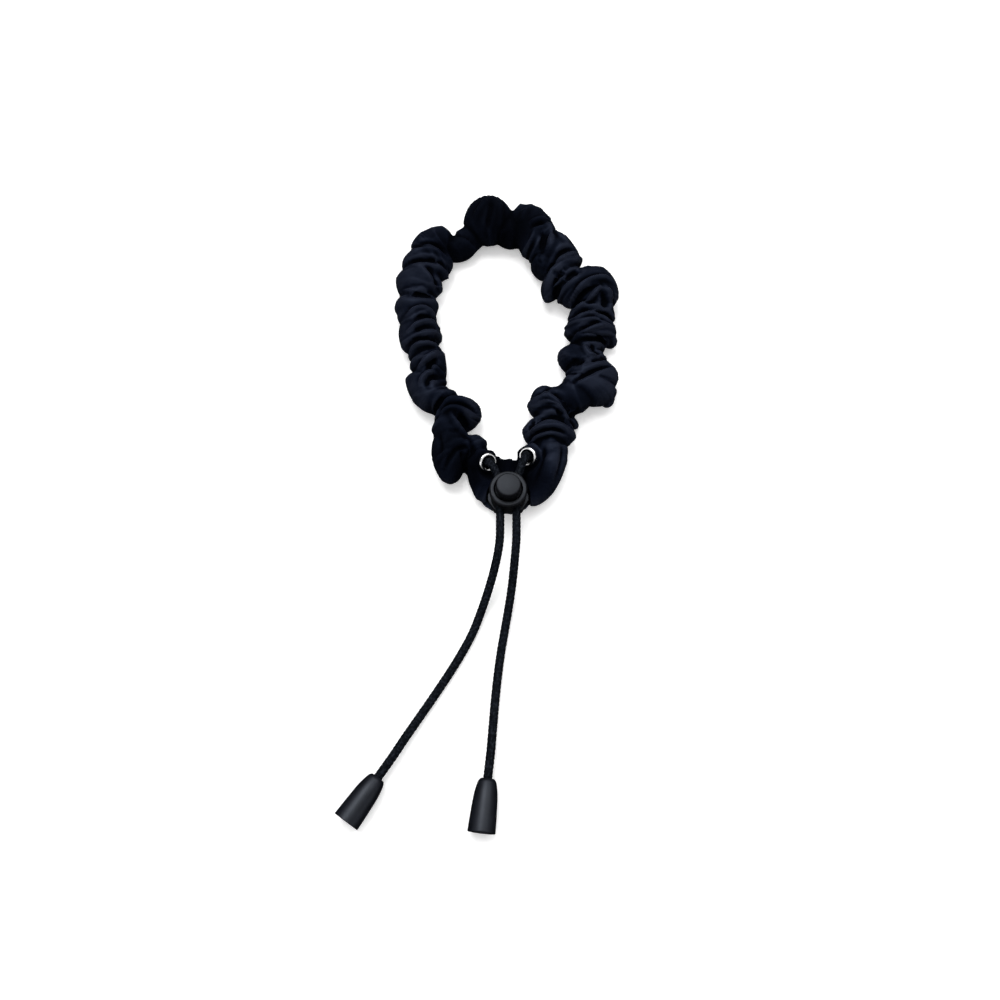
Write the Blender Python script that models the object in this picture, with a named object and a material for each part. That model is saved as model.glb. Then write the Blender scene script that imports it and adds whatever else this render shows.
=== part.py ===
"""Ruched fabric wrist loop with a drawcord, a push-button cord lock and two bell cord ends.

The loop lies flat on the ground plane.  The drawcord runs round inside the fabric sleeve, leaves it
through two eyelets, passes side by side through the lock and ends in a knot inside each bell.
Lengths are written in millimetres times MM, with the lock's vertical axis at x = 0, y = 0.  The
empty "loop_centre" then moves everything so that the origin is under the middle of the loop.
"""
import math

import bmesh
import bpy
import numpy as np
from mathutils import Matrix, Vector

MM = 0.001
GAP = 0.3 * MM                      # air left between pieces that touch

# Middle of the loop's outline, seen from above, in the lock's frame
LOOP_CENTRE = (-0.5 * MM, 58.5 * MM)

# Drawcord
CORD_RADIUS = 1.45 * MM
CORD_SPACING = 2.7 * MM             # each cord's distance from the lock's middle plane
TAIL_STEP = 3.6 * MM                # distance between the points of a free cord's curve
HIDDEN_STEP = 5.6 * MM              # the same, for the cord inside the sleeve
TAIL_START = -2.7 * MM              # a free cord's start, on its eyelet's axis below the fabric

# Cord lock: heights are above the lock's base
LOCK_BASE = 4.0 * MM
LOCK_HEIGHT = 11.6 * MM
LOCK_HEAD_BOTTOM = 8.4 * MM
LOCK_RIM_RADIUS = 6.3 * MM
LOCK_WAIST_RADIUS = 5.9 * MM
LOCK_FLAT = 4.5 * MM                # distance of the front and back flats from the axis
LOCK_FLOOR = 0.8 * MM
LOCK_BORE_RADIUS = 4.6 * MM
LOCK_LEDGE = 8.9 * MM               # bottom of the round bore, top of the flat-sided well
WELL_RADIUS = 4.7 * MM
WELL_FLAT = 3.5 * MM
CORD_HOLE_HEIGHT = 6.8 * MM
CORD_HOLE_RADIUS = 1.7 * MM
EAR_REACH = 6.8 * MM                # side ears of the foot
EAR_HEIGHT = 3.4 * MM
EAR_TIP = 0.9 * MM
FOOT_CORNER = 4.6 * MM

# Plunger
PRESS_TRAVEL = 1.9 * MM
BUTTON_RADIUS = 4.15 * MM
BUTTON_PROUD = 3.8 * MM
BUTTON_EDGE = 0.7 * MM
STEM_RADIUS = 4.3 * MM
STEM_FLAT = 3.1 * MM
WEB_HALF = 0.95 * MM
FOOT_BAR = 0.8 * MM

# Plunger spring
SPRING_RADIUS = 2.4 * MM
SPRING_WIRE = 0.22 * MM
SPRING_TURNS = 2.5

# Eyelets: centre of the fabric seat, and the way each one faces
EYELET_FLANGE_RADIUS = 3.4 * MM
EYELET_BORE_RADIUS = 1.75 * MM
EYELET_TUBE_RADIUS = 2.15 * MM
EYELET_FLANGE = 0.8 * MM
EYELET_TUBE_BELOW = 1.1 * MM        # tube length past the fabric
WASHER_THICKNESS = 0.45 * MM
EYELETS = {
    "left": (Vector((-7.0, 12.6, 8.0)) * MM, Vector((0.50, -0.45, 0.74))),
    "right": (Vector((6.9, 14.8, 8.0)) * MM, Vector((-0.50, -0.45, 0.74))),
}
SEAT_RADIUS = 4.6 * MM
SEAT_DEPTH = 3.4 * MM
SEAT_RIM = 0.3 * MM                 # rise of the seat around the eyelet
FABRIC_AT_EYELET = 1.0 * MM
CHAMBER_RADIUS = 3.7 * MM           # hollow under each seat, for the washer and the cord
CHAMBER_DEPTH = 4.8 * MM
CLEARING_HEIGHT = 9.0 * MM          # height kept free of fabric above each seat

# Bell cord ends, measured along the axis from the narrow end
BELL_TILT = math.radians(2.7)       # lies on its side, so its axis drops towards the narrow end
BELL_OUTSIDE = ((0.0, 1.95), (0.25, 2.4), (0.9, 2.8), (2.2, 3.15), (4.0, 3.5), (6.2, 3.75),
                (9.5, 3.98), (13.0, 4.17), (15.4, 4.28), (15.8, 4.18))
BELL_INSIDE = ((15.8, 3.68), (15.2, 3.56), (11.0, 3.4), (5.0, 3.1), (3.4, 1.8), (0.0, 1.8))
BELL_SIDES = 28
BELL_NARROW_HEIGHT = 3.58 * MM      # height of the axis at the narrow end
BELL_CORD_HEIGHT = 3.6 * MM         # height of the cord where it enters a bell
KNOT_RADIUS = 2.65 * MM
KNOT_DEPTH = 8.0 * MM               # knot's centre, from the bell's narrow end
KNOT_LIFT = 0.35 * MM               # keeps the knot on the tilted bell's axis
STUB_RADIUS = 1.1 * MM              # cut end of the cord past the knot
STUB_LENGTH = 0.9 * MM

# Where each cord enters its bell, and the way it points there, seen from above
BELL_MOUTHS = {
    "left": (Vector((-40.3, -90.9)) * MM, math.radians(235.3)),
    "right": (Vector((-6.55, -91.3)) * MM, math.radians(263.4)),
}

# Routes of the two free cords between the lock and the bells, (x, y, z) in millimetres
TAIL_ROUTES = {
    "left": ((-2.7, 4.0, 10.8), (-2.7, -3.0, 10.8), (-2.7, -10.0, 10.8), (-2.85, -16.2, 10.75),
             (-3.7, -21.8, 9.6), (-5.2, -27.6, 7.2), (-7.1, -33.4, 4.6), (-9.3, -39.4, 2.5),
             (-11.8, -45.6, 1.6), (-14.8, -51.4, 1.5), (-18.7, -58.0, 1.5), (-23.6, -65.6, 1.6),
             (-28.6, -73.2, 2.3), (-32.7, -79.5, 3.2)),
    "right": ((2.7, 4.0, 10.8), (2.7, -3.0, 10.8), (2.7, -10.0, 10.8), (2.6, -16.2, 10.75),
              (2.15, -21.8, 9.6), (1.55, -27.6, 7.2), (0.75, -33.4, 4.6), (-0.3, -39.4, 2.5),
              (-1.4, -45.6, 1.6), (-2.4, -51.4, 1.5), (-3.3, -58.0, 1.5), (-4.15, -65.6, 1.6),
              (-4.8, -73.2, 2.3), (-5.3, -79.5, 3.2)),
}
STRAIGHT_AT_BELL = 8.0 * MM         # straight cord before each bell

# Sleeve: centre line, half width and height of the gathered tube, clockwise from the lock, in
# millimetres: (x, y, half width, height)
SLEEVE_STATIONS = (
    (-0.3, 5.6, 8.6, 4.6), (-8.6, 7.6, 8.6, 8.6), (-15.2, 13.2, 10.2, 11.0),
    (-17.8, 21.6, 9.2, 12.0), (-19.2, 30.4, 8.8, 12.0), (-24.6, 37.0, 7.4, 9.6),
    (-29.2, 43.6, 7.0, 11.0), (-28.6, 50.2, 6.8, 11.0), (-29.6, 57.0, 6.6, 10.4),
    (-31.6, 63.4, 7.4, 11.2), (-33.2, 71.0, 6.9, 11.0), (-32.7, 79.0, 7.7, 11.6),
    (-32.0, 86.0, 8.4, 12.0), (-29.6, 94.0, 9.0, 12.0), (-25.0, 100.4, 7.8, 11.4),
    (-17.6, 102.8, 4.9, 9.0), (-8.6, 110.8, 12.8, 12.8), (0.8, 107.6, 8.6, 10.4),
    (9.0, 105.0, 12.0, 12.6), (18.6, 94.4, 9.8, 12.0), (27.0, 83.6, 12.2, 13.0),
    (30.0, 73.6, 7.8, 10.4), (30.6, 65.4, 8.8, 12.0), (27.4, 57.4, 7.4, 10.2),
    (28.0, 49.6, 9.4, 12.4), (26.6, 41.2, 9.2, 12.6), (20.4, 35.0, 8.0, 11.0),
    (15.4, 28.6, 7.6, 11.2), (14.2, 20.8, 8.2, 12.0), (13.2, 13.0, 7.2, 11.0),
    (8.8, 7.4, 8.0, 8.2),
)
STEPS_PER_STATION = 3
SLEEVE_SIDES = 14
SECTION_SQUARENESS = 0.85           # exponent below 1 flattens the section's top and bottom
TUNNEL_RADIUS = 3.0 * MM
TUNNEL_FIRST, TUNNEL_LAST = 3, 28   # stations between which the cord follows the sleeve
POCKET_HALF = 7.8 * MM              # room for the lock in the soft sleeve, over its whole travel
POCKET_BACK = 6.8 * MM
POCKET_FRONT = 24.0 * MM
POCKET_TOP = 30.0 * MM


# ---------------------------------------------------------------- scene and shared helpers

def clear_scene():
    for old in list(bpy.data.objects):
        bpy.data.objects.remove(old, do_unlink=True)


def material(name, colour, roughness, metallic=0.0):
    made = bpy.data.materials.new(name)
    made.use_nodes = True
    shader = made.node_tree.nodes["Principled BSDF"]
    shader.inputs["Base Color"].default_value = (*colour, 1.0)
    shader.inputs["Roughness"].default_value = roughness
    shader.inputs["Metallic"].default_value = metallic
    return made


def place(obj, parent, finish=None):
    bpy.context.collection.objects.link(obj)
    obj.parent = parent
    if finish is not None:
        obj.data.materials.append(finish)
    return obj


def empty(name, location, parent=None):
    marker = bpy.data.objects.new(name, None)
    marker.location = location
    return place(marker, parent)


def finished_mesh(shape, name, sharp_angle=math.radians(35.0)):
    bmesh.ops.recalc_face_normals(shape, faces=shape.faces)
    mesh = bpy.data.meshes.new(name)
    shape.to_mesh(mesh)
    shape.free()
    mesh.shade_smooth()
    mesh.set_sharp_from_angle(angle=sharp_angle)
    return mesh


def mesh_from_rings(name, rings, closed):
    """Skin over rings of equal size.  A closed sweep meets itself, an open one has flat ends."""
    shape = bmesh.new()
    loops = [[shape.verts.new(point) for point in ring] for ring in rings]
    sides = len(loops[0])
    last = len(loops) if closed else len(loops) - 1
    for index in range(last):
        here = loops[index]
        there = loops[(index + 1) % len(loops)]
        for side in range(sides):
            turn = (side + 1) % sides
            shape.faces.new((here[side], here[turn], there[turn], there[side]))
    if not closed:
        shape.faces.new(reversed(loops[0]))
        shape.faces.new(loops[-1])
    return finished_mesh(shape, name)


def turned_mesh(name, profile, sides):
    """Solid of revolution about +Z from a closed (radius, height) profile off the axis."""
    rings = []
    for step in range(sides):
        angle = 2.0 * math.pi * step / sides
        rings.append([(r * math.cos(angle), r * math.sin(angle), h) for r, h in profile])
    return mesh_from_rings(name, rings, closed=True)


def disc_mesh(name, radius, bottom, top, sides, edge=0.0):
    """Upright cylinder, with its top edge rounded over in three steps when edge is given."""
    levels = [(radius, bottom)]
    if edge:
        for step in range(4):
            angle = 0.5 * math.pi * step / 3
            levels.append((radius - edge * (1.0 - math.cos(angle)),
                           top - edge * (1.0 - math.sin(angle))))
    else:
        levels.append((radius, top))
    return stacked_mesh(name, levels, sides)


def stacked_mesh(name, levels, sides):
    """Solid through circles of the given (radius, height), closed by a flat face at each end."""
    rings = []
    for level_radius, level in levels:
        ring = []
        for step in range(sides):
            angle = 2.0 * math.pi * step / sides
            ring.append((level_radius * math.cos(angle), level_radius * math.sin(angle), level))
        rings.append(ring)
    return mesh_from_rings(name, rings, closed=False)


def prism_mesh(name, outline, bottom, top):
    rings = [[(x, y, level) for x, y in outline] for level in (bottom, top)]
    return mesh_from_rings(name, rings, closed=False)


def box_outline(half_x, half_y):
    return ((-half_x, -half_y), (half_x, -half_y), (half_x, half_y), (-half_x, half_y))


def catmull_rom(points, steps, closed):
    """Smooth curve through the points, with the given number of steps between each two."""
    points = np.asarray(points, dtype=float)
    count = len(points)
    spans = count if closed else count - 1
    curve = []
    for index in range(spans):
        if closed:
            before, here, there, after = (points[(index + k) % count] for k in (-1, 0, 1, 2))
        else:
            here, there = points[index], points[index + 1]
            before = points[index - 1] if index else 2.0 * here - there
            after = points[index + 2] if index + 2 < count else 2.0 * there - here
        for step in range(steps):
            t = step / steps
            curve.append(0.5 * (2.0 * here + (there - before) * t
                                + (2.0 * before - 5.0 * here + 4.0 * there - after) * t ** 2
                                + (3.0 * here - before - 3.0 * there + after) * t ** 3))
    if not closed:
        curve.append(points[-1])
    return np.array(curve)


def even_steps(curve, step, end_stub=1.2 * MM):
    """The same curve with its points about one step apart, and a short straight stub at each end."""
    lengths = np.linalg.norm(np.diff(curve, axis=0), axis=1)
    travelled = np.concatenate(([0.0], np.cumsum(lengths)))
    count = max(2, round(travelled[-1] / step) + 1)
    inner = np.linspace(end_stub, travelled[-1] - end_stub, count)
    stations = np.concatenate(([0.0], inner, [travelled[-1]]))
    return np.stack([np.interp(stations, travelled, curve[:, k]) for k in range(3)], axis=1)


def round_sweep(path, radius, sides):
    """Rings of a round tube along a path, carried along it without twisting."""
    path = np.asarray(path, dtype=float)
    tangents = np.gradient(path, axis=0)
    tangents /= np.linalg.norm(tangents, axis=1)[:, None]
    side = np.cross(tangents[0], (0.3, 0.2, 1.0))
    rings = []
    for point, tangent in zip(path, tangents):
        side = side - tangent * side.dot(tangent)
        side /= np.linalg.norm(side)
        other = np.cross(tangent, side)
        ring = []
        for step in range(sides):
            angle = 2.0 * math.pi * step / sides
            ring.append(point + radius * (math.cos(angle) * side + math.sin(angle) * other))
        rings.append(ring)
    return rings


def cutter(name, mesh, parent, matrix=None):
    """Hidden helper solid for a Boolean."""
    tool = bpy.data.objects.new(name, mesh)
    tool.hide_render = True
    tool.display_type = "WIRE"
    if matrix is not None:
        tool.matrix_local = matrix
    return place(tool, parent)


def combine(target, tool, operation):
    step = target.modifiers.new(operation.lower() + "_" + tool.name, "BOOLEAN")
    step.operation = operation
    step.solver = "EXACT"
    step.object = tool


def facing(origin, axis):
    """Matrix whose local +Z is the axis."""
    turn = axis.normalized().to_track_quat("Z", "Y")
    return Matrix.Translation(origin) @ turn.to_matrix().to_4x4()


# ---------------------------------------------------------------- routes

def bell_direction(side):
    angle = BELL_MOUTHS[side][1]
    return Vector((math.cos(angle), math.sin(angle), 0.0))


def bell_entry(side):
    spot = BELL_MOUTHS[side][0]
    return Vector((spot.x, spot.y, BELL_CORD_HEIGHT))


def eyelet_point(side, height):
    """Point on an eyelet's axis, the given height above its fabric seat."""
    centre, axis = EYELETS[side]
    return centre + axis.normalized() * height


def tail_route(side):
    """From the eyelet, through the lock and along the ground to the knot."""
    entry = bell_entry(side)
    way = bell_direction(side)
    knot_face = entry + way * (KNOT_DEPTH - KNOT_RADIUS - GAP)
    points = [eyelet_point(side, height) for height in (TAIL_START, 0.0, 2.4 * MM)]
    points += [Vector(spot) * MM for spot in TAIL_ROUTES[side]]
    points += [entry - way * STRAIGHT_AT_BELL, entry, knot_face]
    return [tuple(point) for point in points]


def hidden_route():
    """The drawcord's way round the inside of the sleeve, from eyelet to eyelet."""
    middle = []
    for x, y, _, height in SLEEVE_STATIONS[TUNNEL_FIRST:TUNNEL_LAST + 1]:
        middle.append((x * MM, y * MM, 0.5 * height * MM))
    depths = (TAIL_START - GAP, TAIL_START - 1.6 * MM, TAIL_START - 3.0 * MM)
    start = [tuple(eyelet_point("left", depth)) for depth in depths]
    end = [tuple(eyelet_point("right", depth)) for depth in reversed(depths)]
    return start + middle + end


# ---------------------------------------------------------------- soft parts

def squared(value):
    return math.copysign(abs(value) ** SECTION_SQUARENESS, value)


def sleeve_rings():
    """Sections of the gathered tube, each with a flat strip along the ground."""
    stations = catmull_rom(SLEEVE_STATIONS, STEPS_PER_STATION, closed=True) * MM
    plan = stations[:, :2]
    reach = STEPS_PER_STATION + 1
    tangents = np.roll(plan, -reach, axis=0) - np.roll(plan, reach, axis=0)
    tangents /= np.linalg.norm(tangents, axis=1)[:, None]
    rings = []
    for (x, y, half_width, height), (along_x, along_y) in zip(stations, tangents):
        ring = []
        for step in range(SLEEVE_SIDES):
            angle = 2.0 * math.pi * (step + 0.5) / SLEEVE_SIDES - 0.5 * math.pi
            across = squared(math.cos(angle))
            lift = squared(math.sin(angle)) / squared(math.cos(math.pi / SLEEVE_SIDES))
            ring.append((x - along_y * half_width * across, y + along_x * half_width * across,
                         0.5 * height * (1.0 + lift)))
        rings.append(ring)
    return rings


def make_sleeve(root, finish):
    sleeve = place(bpy.data.objects.new("sleeve", mesh_from_rings("sleeve", sleeve_rings(), True)),
                   root, finish)
    for side, (centre, axis) in EYELETS.items():
        seat = disc_mesh(side + "_seat", SEAT_RADIUS, -SEAT_DEPTH, SEAT_RIM, 20)
        combine(sleeve, cutter(side + "_seat", seat, root, facing(centre, axis)), "UNION")
    pocket_outline = ((-POCKET_HALF, -POCKET_FRONT), (POCKET_HALF, -POCKET_FRONT),
                      (POCKET_HALF, POCKET_BACK), (-POCKET_HALF, POCKET_BACK))
    pocket = prism_mesh("lock_pocket", pocket_outline, LOCK_BASE - GAP, POCKET_TOP)
    combine(sleeve, cutter("lock_pocket", pocket, root), "DIFFERENCE")
    route = even_steps(catmull_rom(hidden_route(), 8, closed=False), 5.0 * MM)
    tunnel = mesh_from_rings("cord_tunnel", round_sweep(route, TUNNEL_RADIUS, 10), False)
    for side, (centre, axis) in EYELETS.items():
        levels = ((CHAMBER_RADIUS, -CHAMBER_DEPTH), (CHAMBER_RADIUS, -FABRIC_AT_EYELET),
                  (EYELET_TUBE_RADIUS + GAP, -FABRIC_AT_EYELET), (EYELET_TUBE_RADIUS + GAP, 0.0),
                  (EYELET_FLANGE_RADIUS + GAP, 0.0), (EYELET_FLANGE_RADIUS + GAP, CLEARING_HEIGHT))
        recess = stacked_mesh(side + "_recess", levels, 24)
        combine(sleeve, cutter(side + "_recess", recess, root, facing(centre, axis)),
                "DIFFERENCE")
    combine(sleeve, cutter("cord_tunnel", tunnel, root), "DIFFERENCE")


def make_cord(name, points, step, root, finish):
    route = even_steps(catmull_rom(points, 12, closed=False), step)
    curve = bpy.data.curves.new(name, "CURVE")
    curve.dimensions = "3D"
    curve.bevel_depth = CORD_RADIUS
    curve.bevel_resolution = 2
    curve.use_fill_caps = True
    spline = curve.splines.new("POLY")
    spline.points.add(len(route) - 1)
    for point, spot in zip(spline.points, route):
        point.co = (*spot, 1.0)
    place(bpy.data.objects.new(name, curve), root, finish)


# ---------------------------------------------------------------- eyelets

def make_eyelet(side, root, finish):
    """Rolled flange on the outside, with a tube that goes through the fabric and the washer."""
    tube_end = -FABRIC_AT_EYELET - EYELET_TUBE_BELOW
    profile = [(EYELET_BORE_RADIUS, tube_end), (EYELET_TUBE_RADIUS, tube_end),
               (EYELET_TUBE_RADIUS, GAP)]
    roll_middle = 0.5 * (EYELET_FLANGE_RADIUS + EYELET_BORE_RADIUS)
    roll_half = 0.5 * (EYELET_FLANGE_RADIUS - EYELET_BORE_RADIUS)
    for step in range(9):
        angle = math.pi * step / 8
        profile.append((roll_middle + roll_half * math.cos(angle),
                        GAP + (EYELET_FLANGE - GAP) * math.sin(angle)))
    centre, axis = EYELETS[side]
    eyelet = bpy.data.objects.new(side + "_eyelet", turned_mesh(side + "_eyelet", profile, 28))
    eyelet.matrix_local = facing(centre, axis)
    place(eyelet, root, finish)


def make_washer(side, root, finish):
    """Flat ring inside the sleeve, clamped under the fabric by the eyelet's tube."""
    inner = EYELET_TUBE_RADIUS + GAP
    top = -FABRIC_AT_EYELET - GAP
    bottom = top - WASHER_THICKNESS
    profile = [(inner, bottom), (EYELET_FLANGE_RADIUS, bottom), (EYELET_FLANGE_RADIUS, top),
               (inner, top)]
    name = side + "_eyelet_washer"
    centre, axis = EYELETS[side]
    washer = bpy.data.objects.new(name, turned_mesh(name, profile, 28))
    washer.matrix_local = facing(centre, axis)
    place(washer, root, finish)


# ---------------------------------------------------------------- cord lock

def eared_outline():
    quarter = ((EAR_REACH, EAR_TIP), (FOOT_CORNER, LOCK_FLAT))
    right_back = list(quarter)
    left_back = [(-x, y) for x, y in reversed(quarter)]
    left_front = [(-x, -y) for x, y in quarter]
    right_front = [(x, -y) for x, y in reversed(quarter)]
    return right_back + left_back + left_front + right_front


def make_lock_body(parent, finish):
    """Round head with a bore, on a flat-sided waist and an eared foot, with two cross holes."""
    rim_edge = 0.45 * MM
    head_edge = 0.4 * MM
    inner_edge = 0.3 * MM
    profile = [(LOCK_BORE_RADIUS, LOCK_LEDGE), (LOCK_BORE_RADIUS, LOCK_HEIGHT - inner_edge),
               (LOCK_BORE_RADIUS + inner_edge, LOCK_HEIGHT),
               (LOCK_RIM_RADIUS - rim_edge, LOCK_HEIGHT),
               (LOCK_RIM_RADIUS, LOCK_HEIGHT - rim_edge),
               (LOCK_RIM_RADIUS, LOCK_HEAD_BOTTOM + head_edge),
               (LOCK_RIM_RADIUS - head_edge, LOCK_HEAD_BOTTOM),
               (WELL_FLAT, LOCK_HEAD_BOTTOM), (WELL_FLAT, LOCK_LEDGE)]
    body = bpy.data.objects.new("lock_body", turned_mesh("lock_body", profile, 40))
    place(body, parent, finish)

    waist = disc_mesh("waist", LOCK_WAIST_RADIUS, 0.0, LOCK_LEDGE - 0.1 * MM, 40)
    waist_tool = cutter("waist", waist, parent)
    flats = prism_mesh("waist_flats", box_outline(8.0 * MM, LOCK_FLAT), -1.0 * MM, 10.0 * MM)
    combine(waist_tool, cutter("waist_flats", flats, parent), "INTERSECT")
    combine(body, waist_tool, "UNION")
    foot = cutter("foot", prism_mesh("foot", eared_outline(), 0.0, EAR_HEIGHT), parent)
    combine(body, foot, "UNION")

    well = disc_mesh("well", WELL_RADIUS, LOCK_FLOOR, LOCK_HEIGHT + 1.0 * MM, 40)
    well_tool = cutter("well", well, parent)
    well_flats = prism_mesh("well_flats", box_outline(8.0 * MM, WELL_FLAT), 0.0, 20.0 * MM)
    combine(well_tool, cutter("well_flats", well_flats, parent), "INTERSECT")
    combine(body, well_tool, "DIFFERENCE")
    for sign in (-1, 1):
        name = "left_cord_hole" if sign < 0 else "right_cord_hole"
        hole = disc_mesh(name, CORD_HOLE_RADIUS, -10.0 * MM, 10.0 * MM, 20)
        centre = Vector((sign * CORD_SPACING, 0.0, CORD_HOLE_HEIGHT))
        tool = cutter(name, hole, parent, facing(centre, Vector((0.0, -1.0, 0.0))))
        combine(body, tool, "DIFFERENCE")


def make_plunger(parent, finish):
    """Round push button over a flat-sided stem, whose web and foot bar clamp the two cords."""
    cord_bottom = CORD_HOLE_HEIGHT - CORD_RADIUS
    bar_top = cord_bottom - GAP
    bar_bottom = bar_top - FOOT_BAR
    window_top = CORD_HOLE_HEIGHT + CORD_RADIUS + PRESS_TRAVEL + 0.2 * MM
    button_bottom = LOCK_LEDGE + PRESS_TRAVEL + 0.1 * MM
    button_top = LOCK_HEIGHT + BUTTON_PROUD
    button = disc_mesh("lock_plunger", BUTTON_RADIUS, button_bottom, button_top, 40, BUTTON_EDGE)
    plunger = place(bpy.data.objects.new("lock_plunger", button), parent, finish)
    stem = disc_mesh("stem", STEM_RADIUS, bar_bottom, button_bottom + 0.3 * MM, 36)
    stem_tool = cutter("stem", stem, parent)
    stem_flats = prism_mesh("stem_flats", box_outline(8.0 * MM, STEM_FLAT), 0.0, 20.0 * MM)
    combine(stem_tool, cutter("stem_flats", stem_flats, parent), "INTERSECT")
    for sign in (-1, 1):
        name = "left_window" if sign < 0 else "right_window"
        inner, outer = sign * WEB_HALF, sign * 8.0 * MM
        low, high = min(inner, outer), max(inner, outer)
        outline = ((low, -8.0 * MM), (high, -8.0 * MM), (high, 8.0 * MM), (low, 8.0 * MM))
        window = prism_mesh(name, outline, bar_top, window_top)
        combine(stem_tool, cutter(name, window, parent), "DIFFERENCE")
    combine(plunger, stem_tool, "UNION")


def make_spring(parent, finish):
    """Small coil spring between the lock's floor and the plunger's foot bar."""
    bottom = LOCK_FLOOR + SPRING_WIRE + 0.1 * MM
    bar_bottom = CORD_HOLE_HEIGHT - CORD_RADIUS - GAP - FOOT_BAR
    top = bar_bottom - SPRING_WIRE - 0.1 * MM
    steps_per_turn = 20
    count = int(SPRING_TURNS * steps_per_turn)
    path = []
    for step in range(count + 1):
        angle = 2.0 * math.pi * step / steps_per_turn
        path.append((SPRING_RADIUS * math.cos(angle), SPRING_RADIUS * math.sin(angle),
                     bottom + (top - bottom) * step / count))
    mesh = mesh_from_rings("lock_spring", round_sweep(path, SPRING_WIRE, 8), closed=False)
    place(bpy.data.objects.new("lock_spring", mesh), parent, finish)


# ---------------------------------------------------------------- cord ends

def make_bell(side, root, finish):
    profile = [(r * MM, h * MM) for h, r in BELL_OUTSIDE + BELL_INSIDE]
    name = side + "_bell"
    bell = bpy.data.objects.new(name, turned_mesh(name, profile, BELL_SIDES))
    way = bell_direction(side)
    axis = Vector((way.x * math.cos(BELL_TILT), way.y * math.cos(BELL_TILT), math.sin(BELL_TILT)))
    entry = bell_entry(side)
    origin = Vector((entry.x, entry.y, BELL_NARROW_HEIGHT))
    bell.matrix_local = facing(origin, axis)
    place(bell, root, finish)


def make_knot(side, root, finish):
    """Lumpy knot with the cord's short cut end, on the free cord's axis."""
    along = bell_direction(side)
    rings = []
    levels = 12
    sides = 18
    for level in range(1, levels):
        lean = math.pi * level / levels
        ring = []
        for step in range(sides):
            angle = 2.0 * math.pi * step / sides
            swell = 1.0 - 0.05 * (1.0 + math.cos(3.0 * angle + 2.0 * lean))
            radius = KNOT_RADIUS * math.sin(lean) * swell
            ring.append((radius * math.cos(angle), radius * math.sin(angle),
                         -KNOT_RADIUS * math.cos(lean)))
        rings.append(ring)
    for height in (KNOT_RADIUS, KNOT_RADIUS + STUB_LENGTH):
        rings.append([(STUB_RADIUS * math.cos(2.0 * math.pi * step / sides),
                       STUB_RADIUS * math.sin(2.0 * math.pi * step / sides), height)
                      for step in range(sides)])
    name = side + "_knot"
    knot = bpy.data.objects.new(name, mesh_from_rings(name, rings, closed=False))
    centre = bell_entry(side) + along * KNOT_DEPTH + Vector((0.0, 0.0, KNOT_LIFT))
    knot.matrix_local = facing(centre, along)
    place(knot, root, finish)


def main():
    clear_scene()
    fabric = material("sleeve_fabric", (0.006, 0.007, 0.014), 0.62)
    cord = material("drawcord_braid", (0.008, 0.009, 0.012), 0.7)
    chrome = material("eyelet_chrome", (0.86, 0.86, 0.87), 0.12, 1.0)
    steel = material("spring_steel", (0.62, 0.62, 0.63), 0.3, 1.0)
    plastic = material("lock_plastic", (0.02, 0.021, 0.024), 0.42)
    bell_plastic = material("bell_plastic", (0.022, 0.023, 0.026), 0.4)

    root = empty("loop_centre", (-LOOP_CENTRE[0], -LOOP_CENTRE[1], 0.0))
    lock = empty("lock_axis", (0.0, 0.0, LOCK_BASE), root)
    make_sleeve(root, fabric)
    make_cord("drawcord_in_sleeve", hidden_route(), HIDDEN_STEP, root, cord)
    for side in ("left", "right"):
        make_eyelet(side, root, chrome)
        make_washer(side, root, chrome)
        make_cord("drawcord_" + side, tail_route(side), TAIL_STEP, root, cord)
        make_knot(side, root, cord)
        make_bell(side, root, bell_plastic)
    make_lock_body(lock, plastic)
    make_plunger(lock, plastic)
    make_spring(lock, steel)


main()
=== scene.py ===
"""Looks for the ruched wrist loop: gathered fabric sleeve, braided drawcord, cord lock and bells."""
import math

import bmesh
import bpy
import numpy as np
from mathutils import Matrix, Vector


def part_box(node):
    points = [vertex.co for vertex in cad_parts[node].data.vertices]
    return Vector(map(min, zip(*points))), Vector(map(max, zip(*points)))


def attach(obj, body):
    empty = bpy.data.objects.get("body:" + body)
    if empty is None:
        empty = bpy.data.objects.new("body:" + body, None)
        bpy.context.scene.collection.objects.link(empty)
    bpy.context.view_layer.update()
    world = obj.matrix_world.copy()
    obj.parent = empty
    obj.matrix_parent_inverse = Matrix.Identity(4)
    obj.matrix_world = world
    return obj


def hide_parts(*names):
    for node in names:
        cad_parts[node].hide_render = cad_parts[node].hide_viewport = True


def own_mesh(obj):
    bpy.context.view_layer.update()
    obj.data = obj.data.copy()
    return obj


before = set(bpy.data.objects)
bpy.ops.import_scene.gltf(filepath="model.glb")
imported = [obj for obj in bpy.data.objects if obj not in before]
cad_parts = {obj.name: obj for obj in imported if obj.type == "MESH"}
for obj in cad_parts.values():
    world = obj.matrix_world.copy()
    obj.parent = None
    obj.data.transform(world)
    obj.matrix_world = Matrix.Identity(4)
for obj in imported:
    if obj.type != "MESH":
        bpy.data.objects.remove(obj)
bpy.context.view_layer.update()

MM = 0.001

# The lock's axis is the local zero of every plan position below, in millimetres
button_low, button_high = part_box("lock_plunger")
LOCK_X = 0.5 * (button_low.x + button_high.x)
LOCK_Y = 0.5 * (button_low.y + button_high.y)
LOCK_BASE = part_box("lock_body")[0].z
LOCK_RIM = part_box("lock_body")[1].z
GROUND = 0.0


def place_of(x, y, z):
    """World position of a point given in millimetres from the lock's axis."""
    return Vector((LOCK_X + x * MM, LOCK_Y + y * MM, z * MM))


def round_angles(sides):
    return 2.0 * math.pi * np.arange(sides) / sides


# ---------------------------------------------------------------- camera, light and floor

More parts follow.
